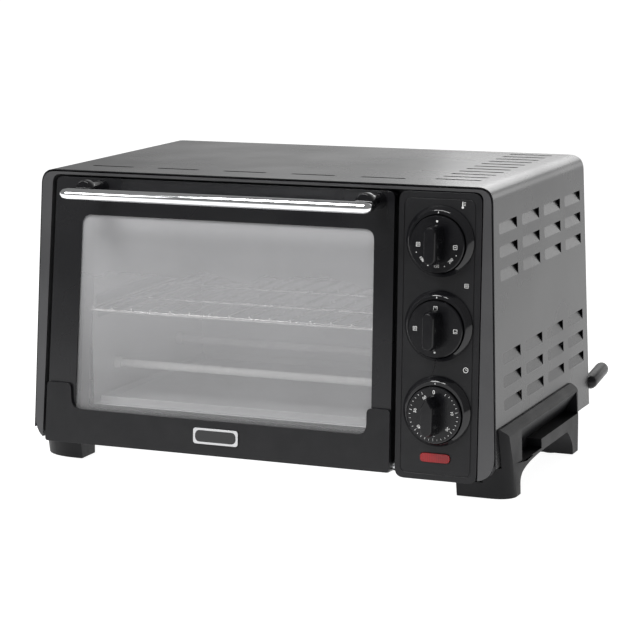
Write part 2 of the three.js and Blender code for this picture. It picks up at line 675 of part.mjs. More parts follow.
// A rounded bar seen from the front; the timer's has a point at the top.
function gripOutline(z, [width, height], pointed) {
  const w = width / 2;
  const top = z + height / 2;
  const low = z - height / 2;
  const corner = w - 0.05;
  const crown = pointed ? [[KNOB_X + w, top - 6, 1], [KNOB_X, top + 1, 1], [KNOB_X - w, top - 6, 1]]
    : [[KNOB_X + w, top, corner], [KNOB_X - w, top, corner]];
  return [[KNOB_X + w, low, corner], ...crown, [KNOB_X - w, low, corner]];
}

// The grip narrows towards its front, with rounded front edges.
function knobGrip(z, pointed) {
  const shape = outline(gripOutline(z, GRIP_SIZE, pointed));
  const straight = 1;
  const bevelThickness = DIAL_FACE - GRIP_FRONT - straight;
  const geometry = new THREE.ExtrudeGeometry(shape, {
    depth: straight, curveSegments: 4,
    bevelEnabled: true, bevelThickness, bevelSize: GRIP_FLARE, bevelSegments: 8,
  });
  geometry.applyMatrix4(AXES.y);
  geometry.translate(0, DIAL_FACE, 0);
  const rear = box(KNOB_X - 30, KNOB_X + 30, DIAL_FACE + 1, 20, z - 40, z + 40);
  return cut(toSolid(geometry), rear);
}

function knob(z, pointed) {
  const dial = turned([
    [0, -1.6], [BEZEL_INNER - 3, -1.6], [BEZEL_INNER - 3, -6], [DIAL_RADIUS, -6],
    [DIAL_RADIUS, DIAL_FACE + 0.8], [DIAL_RADIUS - 0.8, DIAL_FACE], [0, DIAL_FACE],
  ], [KNOB_X, z], 40);
  const bore = round('y', SHAFT_RADIUS + GAP, -14, 0, [KNOB_X, z], 14);
  return cut(join(dial, knobGrip(z, pointed)), bore);
}

function shaft(z) {
  const bar = round('y', SHAFT_RADIUS, -13.6, WALL_BACK + 0.2, [KNOB_X, z], 14);
  const flat = box(KNOB_X + 1.8, KNOB_X + 5, -20, 0, z - 5, z + 5);
  return cut(bar, flat);
}

function thermostat(z) {
  const y = WALL_BACK + GAP + 0.3;
  const bodyBox = box(KNOB_X - 17, KNOB_X + 17, y, y + 16, z - 15, z + 15);
  const cup = round('y', 11, y + 16, y + 22, [KNOB_X, z], 20);
  const tabs = [-12, 12].map((offset) => {
    const x = KNOB_X + offset;
    return box(x - 3, x + 3, y + 4, y + 5.2, z - 24, z - 14);
  });
  return join(bodyBox, cup, ...tabs);
}

function functionSwitch(z) {
  const y = WALL_BACK + GAP + 0.3;
  const drum = round('y', 19, y, y + 22, [KNOB_X, z], 24);
  const tabs = [-16, -7, 2, 11].map((offset) => {
    const x = KNOB_X + offset;
    return box(x, x + 5, y + 20, y + 31, z - 0.6, z + 0.6);
  });
  return join(drum, ...tabs);
}

function timer(z) {
  const y = WALL_BACK + GAP + 0.3;
  const shell = box(KNOB_X - 27, KNOB_X + 27, y, y + 34, z - 27, z + 24);
  const lid = box(KNOB_X - 22, KNOB_X + 22, y + 33, y + 38, z - 22, z + 19);
  return join(shell, lid);
}

function timerBell(z) {
  const y = WALL_BACK + 39.4;
  const profile = [
    [0, y], [3, y], [3, y + 4], [18, y + 6], [22, y + 14], [21, y + 14], [17, y + 7.2], [0, y + 5.6],
  ];
  return turned(profile, [KNOB_X, z], 24);
}

// ---------------------------------------------------------------- side mouldings with feet
// The scooped grip of the right moulding: open above the shelf, and down to the arch in front of it.
function gripScoop() {
  const [shelfFront, shelfRear] = GRIP_SHELF_ENDS;
  const out = MOULD_OUT + 10;
  const above = prism([
    [GRIP_WALL_X, GRIP_SHELF_TOP], [RIDGE_X + 0.4, RIDGE_Z - 1.5],
    [out, RIDGE_Z - 1.5], [out, GRIP_SHELF_TOP],
  ], 'y', 30, shelfRear - 2);
  const ahead = box(GRIP_WALL_X, out, 30, shelfFront, ARCH_TOP + 2.5, GRIP_SHELF_TOP + 1);
  const run = prism([
    [out, 40], [RIDGE_X + 1.5, 46, 12], [GRIP_WALL_X, 88, 12], [GRIP_WALL_X - 9, 88],
    [GRIP_WALL_X - 9, 270], [out, 270],
  ], 'z', 20, 62, 5);
  return join(above, ahead).intersect(run);
}

// The right moulding, before room is made for its neighbours; corner rounds its front, seen from above.
function sideMoulding(corner) {
  const inner = (z) => halfWidth(z) + GAP;
  const under = PLATE_Z - GAP;
  const base = FOOT_BASE + PAD_PROUD;
  const section = prism([
    [inner(CASE_BOTTOM), under], [inner(MOULD_TOP), MOULD_TOP], [inner(MOULD_TOP) + 1.6, MOULD_TOP],
    [RIDGE_X, RIDGE_Z, 3], [MOULD_OUT - 1, 30], [MOULD_OUT, base, 1],
    [FOOT_INNER, base, 1], [FOOT_INNER, under],
  ], 'y', 0, 240, 4);
  const behindScoop = prism([
    [GRIP_WALL_X - 3, under - 1], [GRIP_WALL_X - 3, GRIP_SHELF_TOP + 1],
    [inner(NOTCH_TOP) + 1, NOTCH_TOP - 0.4], [RIDGE_X - 3, NOTCH_TOP - 0.4], [RIDGE_X - 3, under - 1],
  ], 'y', NOTCH_ENDS[0] + 0.4, NOTCH_ENDS[1] - 0.4);
  const side = prism([
    [0, -5], [43, -5], [43.5, 11, 3], [48, 17, 6], [66, 21.5, 12], [100, ARCH_TOP, 16],
    [188, ARCH_TOP, 5], [203, 9, 8], [203, -5], [219, -5], [223, 30], [226, MOULD_TOP + 0.5, 5],
    [MOULD_FRONT, MOULD_TOP + 0.5, 4], [0, 40],
  ], 'x', 150, 260, 5);
  const plan = prism([
    [150, 0], [MOULD_OUT + 0.5, 0, corner], [MOULD_OUT + 0.5, 260], [150, 260],
  ], 'z', -120, 60, 10);
  const raked = plan.rotate([MOULD_RAKE, 0, 0]).translate([0, MOULD_FRONT, MOULD_TOP]);
  const body = join(section, behindScoop).intersect(side).intersect(raked);
  const pads = PAD_PLACES.map(([, x, y]) => {
    return round('z', PAD_RADIUS + GAP, FOOT_BASE - 1, FOOT_BASE + PAD_HEIGHT + GAP, [Math.abs(x), y], 20);
  });
  return cut(body, gripScoop(), ...pads);
}

// The right moulding's foot stands behind the lower edge of the control panel.
function rightMoulding() {
  const panelRoom = box(150, PANEL_RIGHT + 0.6, 0, WALL_FRONT + GAP, PANEL_BOTTOM - 2, CASE_BOTTOM);
  return cut(sideMoulding(CORNER_RIGHT), panelRoom);
}

// The left moulding makes room for the lower edge of the door as it swings open.
function leftMoulding() {
  const hingeY = HINGE_Y * Math.cos(LEAN) + (HINGE_Z - PIVOT_Z) * Math.sin(LEAN);
  const hingeZ = PIVOT_Z - HINGE_Y * Math.sin(LEAN) + (HINGE_Z - PIVOT_Z) * Math.cos(LEAN);
  const swing = round('x', 10.5, DOOR_LEFT_LOW - 2, -150, [hingeY, hingeZ], 28);
  return cut(mirrorX(sideMoulding(CORNER_LEFT)), swing);
}

function footPad([, x, y]) {
  return round('z', PAD_RADIUS, FOOT_BASE, FOOT_BASE + PAD_HEIGHT, [x, y], 20);
}

function terminalBlock() {
  const base = box(150, 206, 236, 254, PLATE_Z + SHEET + GAP, PLATE_Z + 20);
  const steps = [154, 171, 188].map((x) => box(x, x + 13, 230, 242, PLATE_Z + 12, PLATE_Z + 25));
  return cut(base, ...steps);
}

// ---------------------------------------------------------------- assembly
const oven = new THREE.Group();
const upright = new THREE.Group();
const lean = new THREE.Group();
const front = new THREE.Group();
lean.position.set(0, 0, PIVOT_Z);
lean.rotation.x = -LEAN;
front.position.set(0, 0, -PIVOT_Z);
lean.add(front);

upright.add(
  node('outer_case', outerCase(), BLACK_PAINT),
  node('rear_panel', rearPanel(), BLACK_PAINT),
  node('bottom_plate', bottomPlate(), STEEL),
  node('cavity_liner', cavityLiner(), ALUMINISED),
  node('heat_shield', heatShield(), STEEL),
  node('rack_guide_left', rackGuide(-1), STEEL),
  node('rack_guide_right', rackGuide(1), STEEL),
  node('wire_rack', wireRack(), CHROME),
  node('crumb_tray', crumbTray(), ALUMINISED),
  node('thermostat_bulb', thermostatBulb(), BRASS),
  node('cord_gland', cordGland(), BLACK_PLASTIC),
  node('terminal_block', terminalBlock(), CERAMIC),
  node('side_moulding_right', rightMoulding(), BLACK_PLASTIC),
  node('side_moulding_left', leftMoulding(), BLACK_PLASTIC),
  node('rear_spacer_left', mirrorX(rearSpacer()), BLACK_PLASTIC),
  node('rear_spacer_right', rearSpacer(), BLACK_PLASTIC),
);
for (const place of ROD_PLACES) upright.add(node(`heating_rod_${place[0]}`, heatingRod(place), QUARTZ));
for (const place of PAD_PLACES) upright.add(node(`foot_pad_${place[0]}`, footPad(place), RUBBER));
SCREW_PLACES.forEach((place, i) => upright.add(node(`rear_screw_${i + 1}`, rearScrew(place), STEEL)));

front.add(
  node('front_frame', frontFrame(), BLACK_PAINT),
  node('hinge_pin_left', hingePin(-1), STEEL),
  node('hinge_pin_right', hingePin(1), STEEL),
  node('door_frame', doorFrame(), BLACK_PAINT),
  node('door_glass', doorGlass(), GLASS),
  node('door_inner_frame', doorInnerFrame(), BLACK_PAINT),
  node('door_trim', doorTrim(), BLACK_PLASTIC),
  node('badge_plate', badge(), SATIN),
  node('handle_bar', handleBar(), CHROME),
  node('handle_standoff_left', handleStandoff(STANDOFF_X[0]), GLOSS_BLACK),
  node('handle_standoff_right', handleStandoff(STANDOFF_X[1]), GLOSS_BLACK),
  node('rack_hook_left', pullHook(-1), STEEL),
  node('rack_hook_right', pullHook(1), STEEL),
  node('control_panel', controlPanel(), BLACK_PLASTIC),
  node('pilot_lens', pilotLens(), RED_LENS),
  node('neon_lamp', neonLamp(), QUARTZ),
  node('thermostat_body', thermostat(KNOB_HEIGHTS[0]), CERAMIC),
  node('function_switch_body', functionSwitch(KNOB_HEIGHTS[1]), CERAMIC),
  node('timer_body', timer(KNOB_HEIGHTS[2]), STEEL),
  node('timer_bell', timerBell(KNOB_HEIGHTS[2]), BRASS),
);
const CONTROLS = ['thermostat', 'function', 'timer'];
CONTROLS.forEach((name, i) => {
  const z = KNOB_HEIGHTS[i];
  front.add(
    node(`${name}_bezel`, knobBezel(z), GLOSS_BLACK),
    node(`${name}_knob`, knob(z, name === 'timer'), BLACK_PLASTIC),
    node(`${name}_shaft`, shaft(z), STEEL),
  );
});

oven.add(upright, lean);

// the origin sits under the middle of the whole oven, handle and rear spacers included
const extent = new THREE.Box3().setFromObject(oven, true);
oven.position.y = -(extent.min.y + extent.max.y) / 2;
oven.position.z = -FOOT_BASE;

export default oven;
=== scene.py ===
"""Countertop toaster oven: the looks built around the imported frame. Metres, +X right, front -Y, +Z up."""
import json
import math
import bmesh
import bpy
from mathutils import Matrix, Vector


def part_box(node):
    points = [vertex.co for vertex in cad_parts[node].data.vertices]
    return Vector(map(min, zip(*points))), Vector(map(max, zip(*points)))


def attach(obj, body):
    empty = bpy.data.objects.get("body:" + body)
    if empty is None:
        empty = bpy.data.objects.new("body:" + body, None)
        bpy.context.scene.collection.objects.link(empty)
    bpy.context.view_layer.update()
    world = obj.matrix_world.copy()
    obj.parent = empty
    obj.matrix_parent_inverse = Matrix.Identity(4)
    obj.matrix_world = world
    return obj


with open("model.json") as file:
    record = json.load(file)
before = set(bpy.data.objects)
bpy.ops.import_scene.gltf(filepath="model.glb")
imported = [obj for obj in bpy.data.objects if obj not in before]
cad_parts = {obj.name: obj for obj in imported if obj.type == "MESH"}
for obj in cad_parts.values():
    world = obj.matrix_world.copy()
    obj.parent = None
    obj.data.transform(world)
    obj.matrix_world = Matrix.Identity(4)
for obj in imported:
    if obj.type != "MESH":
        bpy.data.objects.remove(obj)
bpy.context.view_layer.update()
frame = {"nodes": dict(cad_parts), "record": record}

NODES = frame["nodes"]
MM = 0.001

# ---------------------------------------------------------------- driving dimensions
LEAN = math.radians(3.3)               # the whole front leans back about a line across the oven
PIVOT_Z = 20 * MM                      # height of that line; this and the next two are from before SHIFT
CASE_BACK = 288 * MM                   # from the front plane at that line to the rear edge of the case
CASE_TOP = 279 * MM
SHIFT = Vector((0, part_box("outer_case")[1].y - CASE_BACK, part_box("outer_case")[1].z - CASE_TOP))
TO_ROW = (Matrix.Translation(SHIFT) @ Matrix.Translation((0, 0, PIVOT_Z)) @ Matrix.Rotation(-LEAN, 4, "X")
          @ Matrix.Translation((0, 0, -PIVOT_Z)))
FROM_ROW = TO_ROW.inverted()
INK_LIFT = 0.03 * MM                   # printed marks stand this far off their surface
INK_THICK = 0.05 * MM

CAMERA_PLACE = Vector((0.87385, -1.87088, 0.53231)) + SHIFT
CAMERA_TARGET = Vector((0.00264, 0.150, 0.12398)) + SHIFT
CAMERA_ROLL = math.radians(-0.55)
CAMERA_LENS = 128.94
SENSOR = 36.0

FLOOR_REACH = 12                       # half the width of the floor
FLOOR_PAINTED_SHADE_Y = -1.5                     # the floor is painted darker, and glows less, towards the viewer between these two depths: a painted shade
FLOOR_FULL_Y = -0.6
BRIGHT_SIDE = Vector((0.09, 1.0, 0.12))
WORLD_BRIGHT = 1.25
WORLD_DIM = 0.22
WORLD_EDGE = 0.76                      # cosine of the angle from the bright side where the dim part starts
SOFTBOXES = [                          # name, place, aim, width, height, watts
    ("key_front", (-0.5, -1.6, 2.2), (0, 0, 0.1), 1.4, 1.0, 72),
    ("side_right", (1.05, 1.9, 0.5), (0.2, 0, 0.2), 1.0, 0.4, 1.2),
    ("rear_edge", (0.1, 0.85, 0.6), (0.1, 0.12, 0.28), 0.6, 0.3, 1.2),
    ("bar_glint", (-1.2, -1.4, 0.9), (-0.1, -0.15, 0.26), 0.5, 0.5, 5),
]

CONTROLS = ("thermostat", "function", "timer")
MARK_LINE = 0.35                       # printed marks below are in mm about the centre of their dial
ICON_HALF = 1.7
DIAL_RIM = (22 * MM, 27 * MM)          # where on the dial its printed face is measured
RING_CROWN = (24.5 * MM, 27.8 * MM)    # where on the bezel its front is measured
PAINTED_HIGHLIGHT_MARK = (25.2, 26.6, 0.7)         # low end, high end and width of the white bar on each bezel, a painted highlight at its top
POINTER_RADIUS = 20.5
NUMBER_RADIUS = 19.3
FUNCTION_ICON_RADIUS = 19.0
THERMOSTAT_ICON_RADIUS = 17.5
TIMER_START = 30                       # degrees clockwise from the top
TIMER_STEP = 10
TIMER_TICKS = 31
TICK_LONG, TICK_SHORT, TICK_END = 20.8, 21.9, 23.2
TIMER_NUMBER_RADIUS = 17.6
BADGE_FIELD = (20.9, 5.5, 4.5)         # half width, half height and corner of the dark field, in mm


# ---------------------------------------------------------------- materials
class Shader:
    """A principled material with short calls for the nodes that feed it."""

    def __init__(self, name, color, roughness, metallic=0.0, **sockets):
        self.material = bpy.data.materials.new(name)
        self.material.use_nodes = True
        self.tree = self.material.node_tree
        self.bsdf = self.tree.nodes["Principled BSDF"]
        self.set("Base Color", (*color, 1.0))
        self.set("Roughness", roughness)
        self.set("Metallic", metallic)
        for socket, value in sockets.items():
            self.set(socket.replace("_", " "), value)
        self.place = self.node("ShaderNodeTexCoord").outputs["Object"]

    def set(self, socket, value):
        self.bsdf.inputs[socket].default_value = value

    def node(self, kind, **settings):
        made = self.tree.nodes.new(kind)
        for key, value in settings.items():
            setattr(made, key, value)
        return made

    def link(self, source, target):
        self.tree.links.new(source, target)

    def stretched(self, scale):
        mapping = self.node("ShaderNodeMapping")
        mapping.inputs["Scale"].default_value = scale
        self.link(self.place, mapping.inputs["Vector"])
        return mapping.outputs["Vector"]

    def noise(self, scale, detail, place=None):
        made = self.node("ShaderNodeTexNoise")
        made.inputs["Scale"].default_value = scale
        made.inputs["Detail"].default_value = detail
        self.link(place or self.place, made.inputs["Vector"])
        return made.outputs["Fac"]

    def cells(self, scale):
        made = self.node("ShaderNodeTexVoronoi")
        made.inputs["Scale"].default_value = scale
        self.link(self.place, made.inputs["Vector"])
        return made.outputs["Distance"]

    def ranged(self, value, low, high, start=0.3, end=0.7):
        made = self.node("ShaderNodeMapRange")
        made.inputs["From Min"].default_value = start
        made.inputs["From Max"].default_value = end
        made.inputs["To Min"].default_value = low
        made.inputs["To Max"].default_value = high
        self.link(value, made.inputs["Value"])
        return made.outputs["Result"]

    def ramp(self, value, stops):
        made = self.node("ShaderNodeValToRGB")
        while len(made.color_ramp.elements) < len(stops):
            made.color_ramp.elements.new(0.5)
        for element, (position, color) in zip(made.color_ramp.elements, stops):
            element.position = position
            element.color = (*color, 1.0)
        self.link(value, made.inputs["Fac"])
        return made.outputs["Color"]

    def add(self, first, second):
        made = self.node("ShaderNodeMath", operation="ADD")
        self.link(first, made.inputs[0])
        self.link(second, made.inputs[1])
        return made.outputs[0]

    def scaled(self, value, factor):
        made = self.node("ShaderNodeMath", operation="MULTIPLY")
        made.inputs[1].default_value = factor
        self.link(value, made.inputs[0])
        return made.outputs[0]

    def bump(self, height, distance):
        made = self.node("ShaderNodeBump")
        made.inputs["Distance"].default_value = distance
        made.inputs["Strength"].default_value = 1.0
        self.link(height, made.inputs["Height"])
        self.link(made.outputs["Normal"], self.bsdf.inputs["Normal"])

    def feed(self, value, socket):
        self.link(value, self.bsdf.inputs[socket])


def powder_coat(name, dark, light, smooth, rough):
    """Satin black powder coat: faint orange peel, a little haze where hands have been."""
    s = Shader(name, light, rough, Specular_IOR_Level=0.42)
    s.feed(s.ranged(s.noise(9, 4), smooth, rough), "Roughness")
    s.feed(s.ramp(s.noise(14, 5), [(0.35, dark), (0.65, light)]), "Base Color")
    s.bump(s.add(s.noise(700, 2), s.scaled(s.noise(2600, 2), 0.4)), 0.00003)
    return s.material


def case_paint():
    return powder_coat("case_paint_look", (0.005, 0.005, 0.006), (0.008, 0.008, 0.009), 0.23, 0.30)


def sheen_lightened_frame_paint():
    """The coat on the front frame, a little lighter than the case paint as a painted sheen, so that its rim
    looks as if it catches the light.
    """
    return powder_coat("sheen_lightened_frame_paint_look", (0.045, 0.045, 0.047), (0.055, 0.055, 0.057), 0.27, 0.34)


def black_plastic():
    """Injection moulded plastic with a fine spark texture."""
    s = Shader("black_plastic_look", (0.006, 0.006, 0.007), 0.36, Specular_IOR_Level=0.32)
    s.feed(s.ranged(s.noise(25, 4), 0.32, 0.40), "Roughness")
    tone = [(0.3, (0.005, 0.005, 0.006)), (0.7, (0.008, 0.008, 0.009))]
    s.feed(s.ramp(s.noise(60, 5), tone), "Base Color")
    grain = s.cells(1900)
    s.bump(s.add(grain, s.noise(3200, 3)), 0.00004)
    return s.material


def moulding_plastic():
    """Darker, flatter plastic of the side mouldings with their feet."""
    s = Shader("moulding_plastic_look", (0.005, 0.005, 0.006), 0.5, Specular_IOR_Level=0.2)
    s.feed(s.ranged(s.noise(25, 4), 0.42, 0.52), "Roughness")
    tone = [(0.3, (0.004, 0.004, 0.005)), (0.7, (0.007, 0.007, 0.008))]
    s.feed(s.ramp(s.noise(60, 5), tone), "Base Color")
    grain = s.cells(1700)
    s.bump(s.add(grain, s.noise(3000, 3)), 0.00005)
    return s.material


def gloss_plastic():
    """Polished black plastic: nearly a mirror, with light handling marks."""
    s = Shader("gloss_plastic_look", (0.006, 0.006, 0.007), 0.08)
    s.feed(s.ranged(s.noise(70, 5), 0.05, 0.14), "Roughness")
    s.bump(s.noise(900, 2), 0.000008)
    return s.material


def knob_plastic():
    """Finely textured black knob plastic."""
    s = Shader("knob_plastic_look", (0.004, 0.004, 0.005), 0.24, Specular_IOR_Level=0.36)
    s.feed(s.ranged(s.noise(90, 4), 0.19, 0.28), "Roughness")
    tone = [(0.3, (0.003, 0.003, 0.004)), (0.7, (0.005, 0.005, 0.006))]
    s.feed(s.ramp(s.noise(150, 3), tone), "Base Color")
    s.bump(s.noise(2800, 3), 0.00003)
    return s.material


def chrome():
    """Bright plate with a slight waviness and uneven polish."""
    s = Shader("chrome_look", (0.86, 0.87, 0.88), 0.06, 1.0)
    s.feed(s.ranged(s.noise(40, 5), 0.035, 0.11), "Roughness")
    s.bump(s.noise(120, 2), 0.00002)
    return s.material


def rack_plate():
    """Bright nickel plate on drawn wire, slightly dulled by heat."""
    s = Shader("rack_plate_look", (0.78, 0.78, 0.77), 0.2, 1.0)
    tone = [(0.3, (0.70, 0.69, 0.67)), (0.7, (0.85, 0.85, 0.85))]
    s.feed(s.ramp(s.noise(35, 4), tone), "Base Color")
    s.feed(s.ranged(s.noise(220, 3), 0.14, 0.3), "Roughness")
    s.bump(s.noise(1800, 2), 0.00002)
    return s.material


def plated_steel():
    """Zinc plated sheet with drawn streaks along X."""
    s = Shader("plated_steel_look", (0.55, 0.56, 0.57), 0.32, 1.0)
    drawn = s.noise(60, 3, place=s.stretched((1, 30, 30)))
    tone = [(0.3, (0.47, 0.48, 0.49)), (0.7, (0.62, 0.63, 0.64))]
    s.feed(s.ramp(drawn, tone), "Base Color")
    s.feed(s.ranged(drawn, 0.26, 0.4), "Roughness")
    s.bump(drawn, 0.00002)
    return s.material


def aluminised_steel():
    """Dull light sheet of the cavity, with a faint spangle and soft clouding."""
    s = Shader("aluminised_steel_look", (0.74, 0.74, 0.75), 0.45, 0.2)
    cloud = s.noise(11, 5)
    tone = [(0.3, (0.71, 0.71, 0.72)), (0.7, (0.77, 0.77, 0.78))]
    s.feed(s.ramp(cloud, tone), "Base Color")
    spangle = s.cells(420)
    s.feed(s.ranged(spangle, 0.36, 0.5, 0.0, 0.8), "Roughness")
    s.bump(s.add(s.noise(500, 2), s.scaled(spangle, 0.3)), 0.00003)
    return s.material


def door_glass():
    """Tempered glass with faint smears and a light grey haze, stronger at glancing views, and thickened near
    the top as painted light.
    """
    s = Shader("door_glass_look", (0.55, 0.55, 0.56), 0.05, IOR=1.5)
    axes = s.node("ShaderNodeSeparateXYZ")
    s.link(s.place, axes.inputs["Vector"])
    # painted light: the grey haze thickens towards the top so that the upper window looks brighter
    painted_light_veil = s.ranged(axes.outputs["Z"], -0.05, 0.25, 0.08, 0.24)
    weight = s.node("ShaderNodeLayerWeight")
    weight.inputs["Blend"].default_value = 0.35
    haze = s.add(painted_light_veil, s.ranged(s.noise(22, 4), 0.21, 0.24))
    s.feed(s.add(haze, s.scaled(weight.outputs["Fresnel"], 0.3)), "Alpha")
    s.feed(s.ranged(s.noise(16, 5), 0.04, 0.09), "Roughness")
    return s.material


def red_lens():
    """Clear red moulding with fine ribs inside."""
    s = Shader("red_lens_look", (0.2, 0.003, 0.004), 0.1, Specular_IOR_Level=0.4)
    ribs = s.node("ShaderNodeTexWave", bands_direction="X")
    ribs.inputs["Scale"].default_value = 180
    ribs.inputs["Distortion"].default_value = 0.4
    s.link(s.place, ribs.inputs["Vector"])
    tone = [(0.2, (0.17, 0.002, 0.004)), (0.8, (0.25, 0.005, 0.008))]
    s.feed(s.ramp(ribs.outputs["Fac"], tone), "Base Color")
    s.bump(ribs.outputs["Fac"], 0.00002)
    return s.material


def ceramic():
    """Unglazed pale ceramic with fine pits."""
    s = Shader("ceramic_look", (0.74, 0.71, 0.65), 0.6)
    tone = [(0.3, (0.66, 0.63, 0.57)), (0.7, (0.78, 0.76, 0.70))]
    s.feed(s.ramp(s.noise(180, 6), tone), "Base Color")
    s.bump(s.noise(1500, 3), 0.00006)
    return s.material


def quartz():
    """Milky satin tube with the shadow of its coil."""
    s = Shader("quartz_look", (0.72, 0.70, 0.67), 0.28)
    coil = s.node("ShaderNodeTexWave", bands_direction="X")
    coil.inputs["Scale"].default_value = 110
    s.link(s.place, coil.inputs["Vector"])
    tone = [(0.2, (0.80, 0.79, 0.78)), (0.8, (0.86, 0.86, 0.85))]
    s.feed(s.ramp(coil.outputs["Fac"], tone), "Base Color")
    s.feed(s.ranged(s.noise(120, 3), 0.2, 0.36), "Roughness")
    s.bump(s.noise(700, 2), 0.00003)
    return s.material


def rubber():
    """Matte black rubber with a fine grain."""
    s = Shader("rubber_look", (0.012, 0.012, 0.012), 0.85)
    tone = [(0.3, (0.009, 0.009, 0.009)), (0.7, (0.018, 0.018, 0.018))]
    s.feed(s.ramp(s.noise(160, 5), tone), "Base Color")
    s.bump(s.noise(1900, 3), 0.00008)
    return s.material


def brass():
    """Plain brass, unevenly dulled."""
    s = Shader("brass_look", (0.62, 0.47, 0.22), 0.3, 1.0)
    tone = [(0.3, (0.52, 0.38, 0.17)), (0.7, (0.68, 0.53, 0.27))]
    s.feed(s.ramp(s.noise(80, 5), tone), "Base Color")
    s.feed(s.ranged(s.noise(300, 3), 0.22, 0.4), "Roughness")
    s.bump(s.noise(900, 2), 0.00003)
    return s.material


def satin_plate():
    """Brushed aluminium, with the brush lines along X."""
    s = Shader("satin_plate_look", (0.62, 0.62, 0.63), 0.3, 1.0)
    brushed = s.noise(90, 4, place=s.stretched((1, 60, 60)))
    tone = [(0.3, (0.55, 0.55, 0.56)), (0.7, (0.70, 0.70, 0.71))]
    s.feed(s.ramp(brushed, tone), "Base Color")
    s.feed(s.ranged(brushed, 0.24, 0.38), "Roughness")
    s.bump(brushed, 0.00002)
    return s.material


def print_ink():
    """White printing with slightly uneven cover."""
    s = Shader("print_ink_look", (0.75, 0.75, 0.74), 0.5)
    tone = [(0.3, (0.62, 0.62, 0.61)), (0.6, (0.82, 0.82, 0.81))]
    s.feed(s.ramp(s.noise(900, 3), tone), "Base Color")
    s.bump(s.noise(3000, 2), 0.00001)
    return s.material


def floor_look():
    """White studio floor, lit from below like a light table, with a painted shade that dims it well in front
    of the oven.
    """
    s = Shader("floor_look", (0.6, 0.6, 0.6), 0.8)
    axes = s.node("ShaderNodeSeparateXYZ")
    s.link(s.place, axes.inputs["Vector"])
    depth = s.add(axes.outputs["Y"], s.scaled(s.noise(3, 3), 0.02))
    # painted shade: the floor is darker and glows less in front of the oven
    painted_shade_fade = s.ranged(depth, 0.0, 1.0, FLOOR_PAINTED_SHADE_Y, FLOOR_FULL_Y)
    s.feed(s.ramp(painted_shade_fade, [(0.0, (0.12, 0.12, 0.12)), (1.0, (0.35, 0.35, 0.35))]), "Base Color")
    s.set("Emission Color", (1.0, 1.0, 1.0, 1.0))
    s.feed(s.ranged(painted_shade_fade, 0.1, 0.94, 0.0, 1.0), "Emission Strength")
    return s.material


LOOKS = {
    "case_paint": case_paint(),
    "black_plastic": black_plastic(),
    "gloss_plastic": gloss_plastic(),
    "chrome": chrome(),
    "plated_steel": plated_steel(),
    "aluminised_steel": aluminised_steel(),
    "door_glass": door_glass(),
    "red_lens": red_lens(),
    "ceramic": ceramic(),
    "quartz": quartz(),
    "rubber": rubber(),
    "brass": brass(),
    "satin_plate": satin_plate(),
}
# the front frame's coat carries a painted sheen: its lighter colour makes the rim look lit
SHEEN_LIGHTENED_FRAME_LOOK = sheen_lightened_frame_paint()
MOULDING_LOOK = moulding_plastic()
KNOB_LOOK = knob_plastic()
RACK_LOOK = rack_plate()
INK_LOOK = print_ink()


# ---------------------------------------------------------------- CAD nodes: finish and soft edges
EDGE_WIDTHS = {                        # rounding of the sharp edges, in mm, where it isn't the usual one
    "outer_case": 0.3, "rear_panel": 0, "cavity_liner": 0.2, "crumb_tray": 0.2, "bottom_plate": 0.2,
    "door_trim": 0.9, "side_moulding_left": 1.1, "side_moulding_right": 1.1, "control_panel": 0.25,
    "front_frame": 0.6, "door_frame": 0.35, "wire_rack": 0, "badge_plate": 0.3, "pilot_lens": 0.5,
    "heating_rod_lower_front": 0, "heating_rod_lower_rear": 0, "heating_rod_upper_front": 0,
    "heating_rod_upper_rear": 0, "handle_bar": 0, "door_inner_frame": 0.15, "timer_bell": 0.2,
}
USUAL_EDGE = 0.4
SHARP_ANGLES = {"outer_case": 18, "front_frame": 24}   # degrees; edges that turn less are left smooth
USUAL_SHARP = 28
CREASE = 50                            # degrees, on the pieces whose edges aren't rounded
WELD_REACH = 0.01                      # mm


def soften(obj, width, sharp):
    """Joins the split corners, shades smoothly and rounds the sharp edges; with no width it creases them."""
    for polygon in obj.data.polygons:
        polygon.use_smooth = True
    if "custom_normal" in obj.data.attributes:
        obj.data.attributes.remove(obj.data.attributes["custom_normal"])
    weld = obj.modifiers.new("weld", "WELD")
    weld.merge_threshold = WELD_REACH * MM
    if width:
        bevel = obj.modifiers.new("soft_edges", "BEVEL")
        bevel.width = width * MM
        bevel.segments = 2
        bevel.limit_method = "ANGLE"
        bevel.angle_limit = math.radians(sharp)
        bevel.harden_normals = True
        bevel.use_clamp_overlap = True
    else:
        split = obj.modifiers.new("crisp_edges", "EDGE_SPLIT")
        split.split_angle = math.radians(CREASE)


def look_of(part):
    """The look of a node: its material's, unless the node has one of its own."""
    name = part["node"]
    if name.endswith("_knob"):
        return KNOB_LOOK
    if name.startswith("side_moulding"):
        return MOULDING_LOOK
    own = {"wire_rack": RACK_LOOK, "front_frame": SHEEN_LIGHTENED_FRAME_LOOK}
    return own.get(name, LOOKS[part["material_slot"]])


def dress_cad_nodes():
    for part in frame["record"]["subparts"]:
        name = part["node"]
        obj = NODES[name]
        obj.data.materials.clear()
        obj.data.materials.append(look_of(part))
        soften(obj, EDGE_WIDTHS.get(name, USUAL_EDGE), SHARP_ANGLES.get(name, USUAL_SHARP))


# ---------------------------------------------------------------- printed marks
def local_points(node):
    return [FROM_ROW @ v.co for v in NODES[node].data.vertices]


def local_centre(node):
    points = local_points(node)
    xs = [p.x for p in points]
    zs = [p.z for p in points]
    return (min(xs) + max(xs)) / 2, (min(zs) + max(zs)) / 2


def face_depth(node, centre, inner, outer):
    """How far forward the node's face stands at this distance from the centre, in the leaning frame."""
    def distance(p):
        return math.hypot(p.x - centre[0], p.z - centre[1])
    return min(p.y for p in local_points(node) if inner <= distance(p) <= outer)


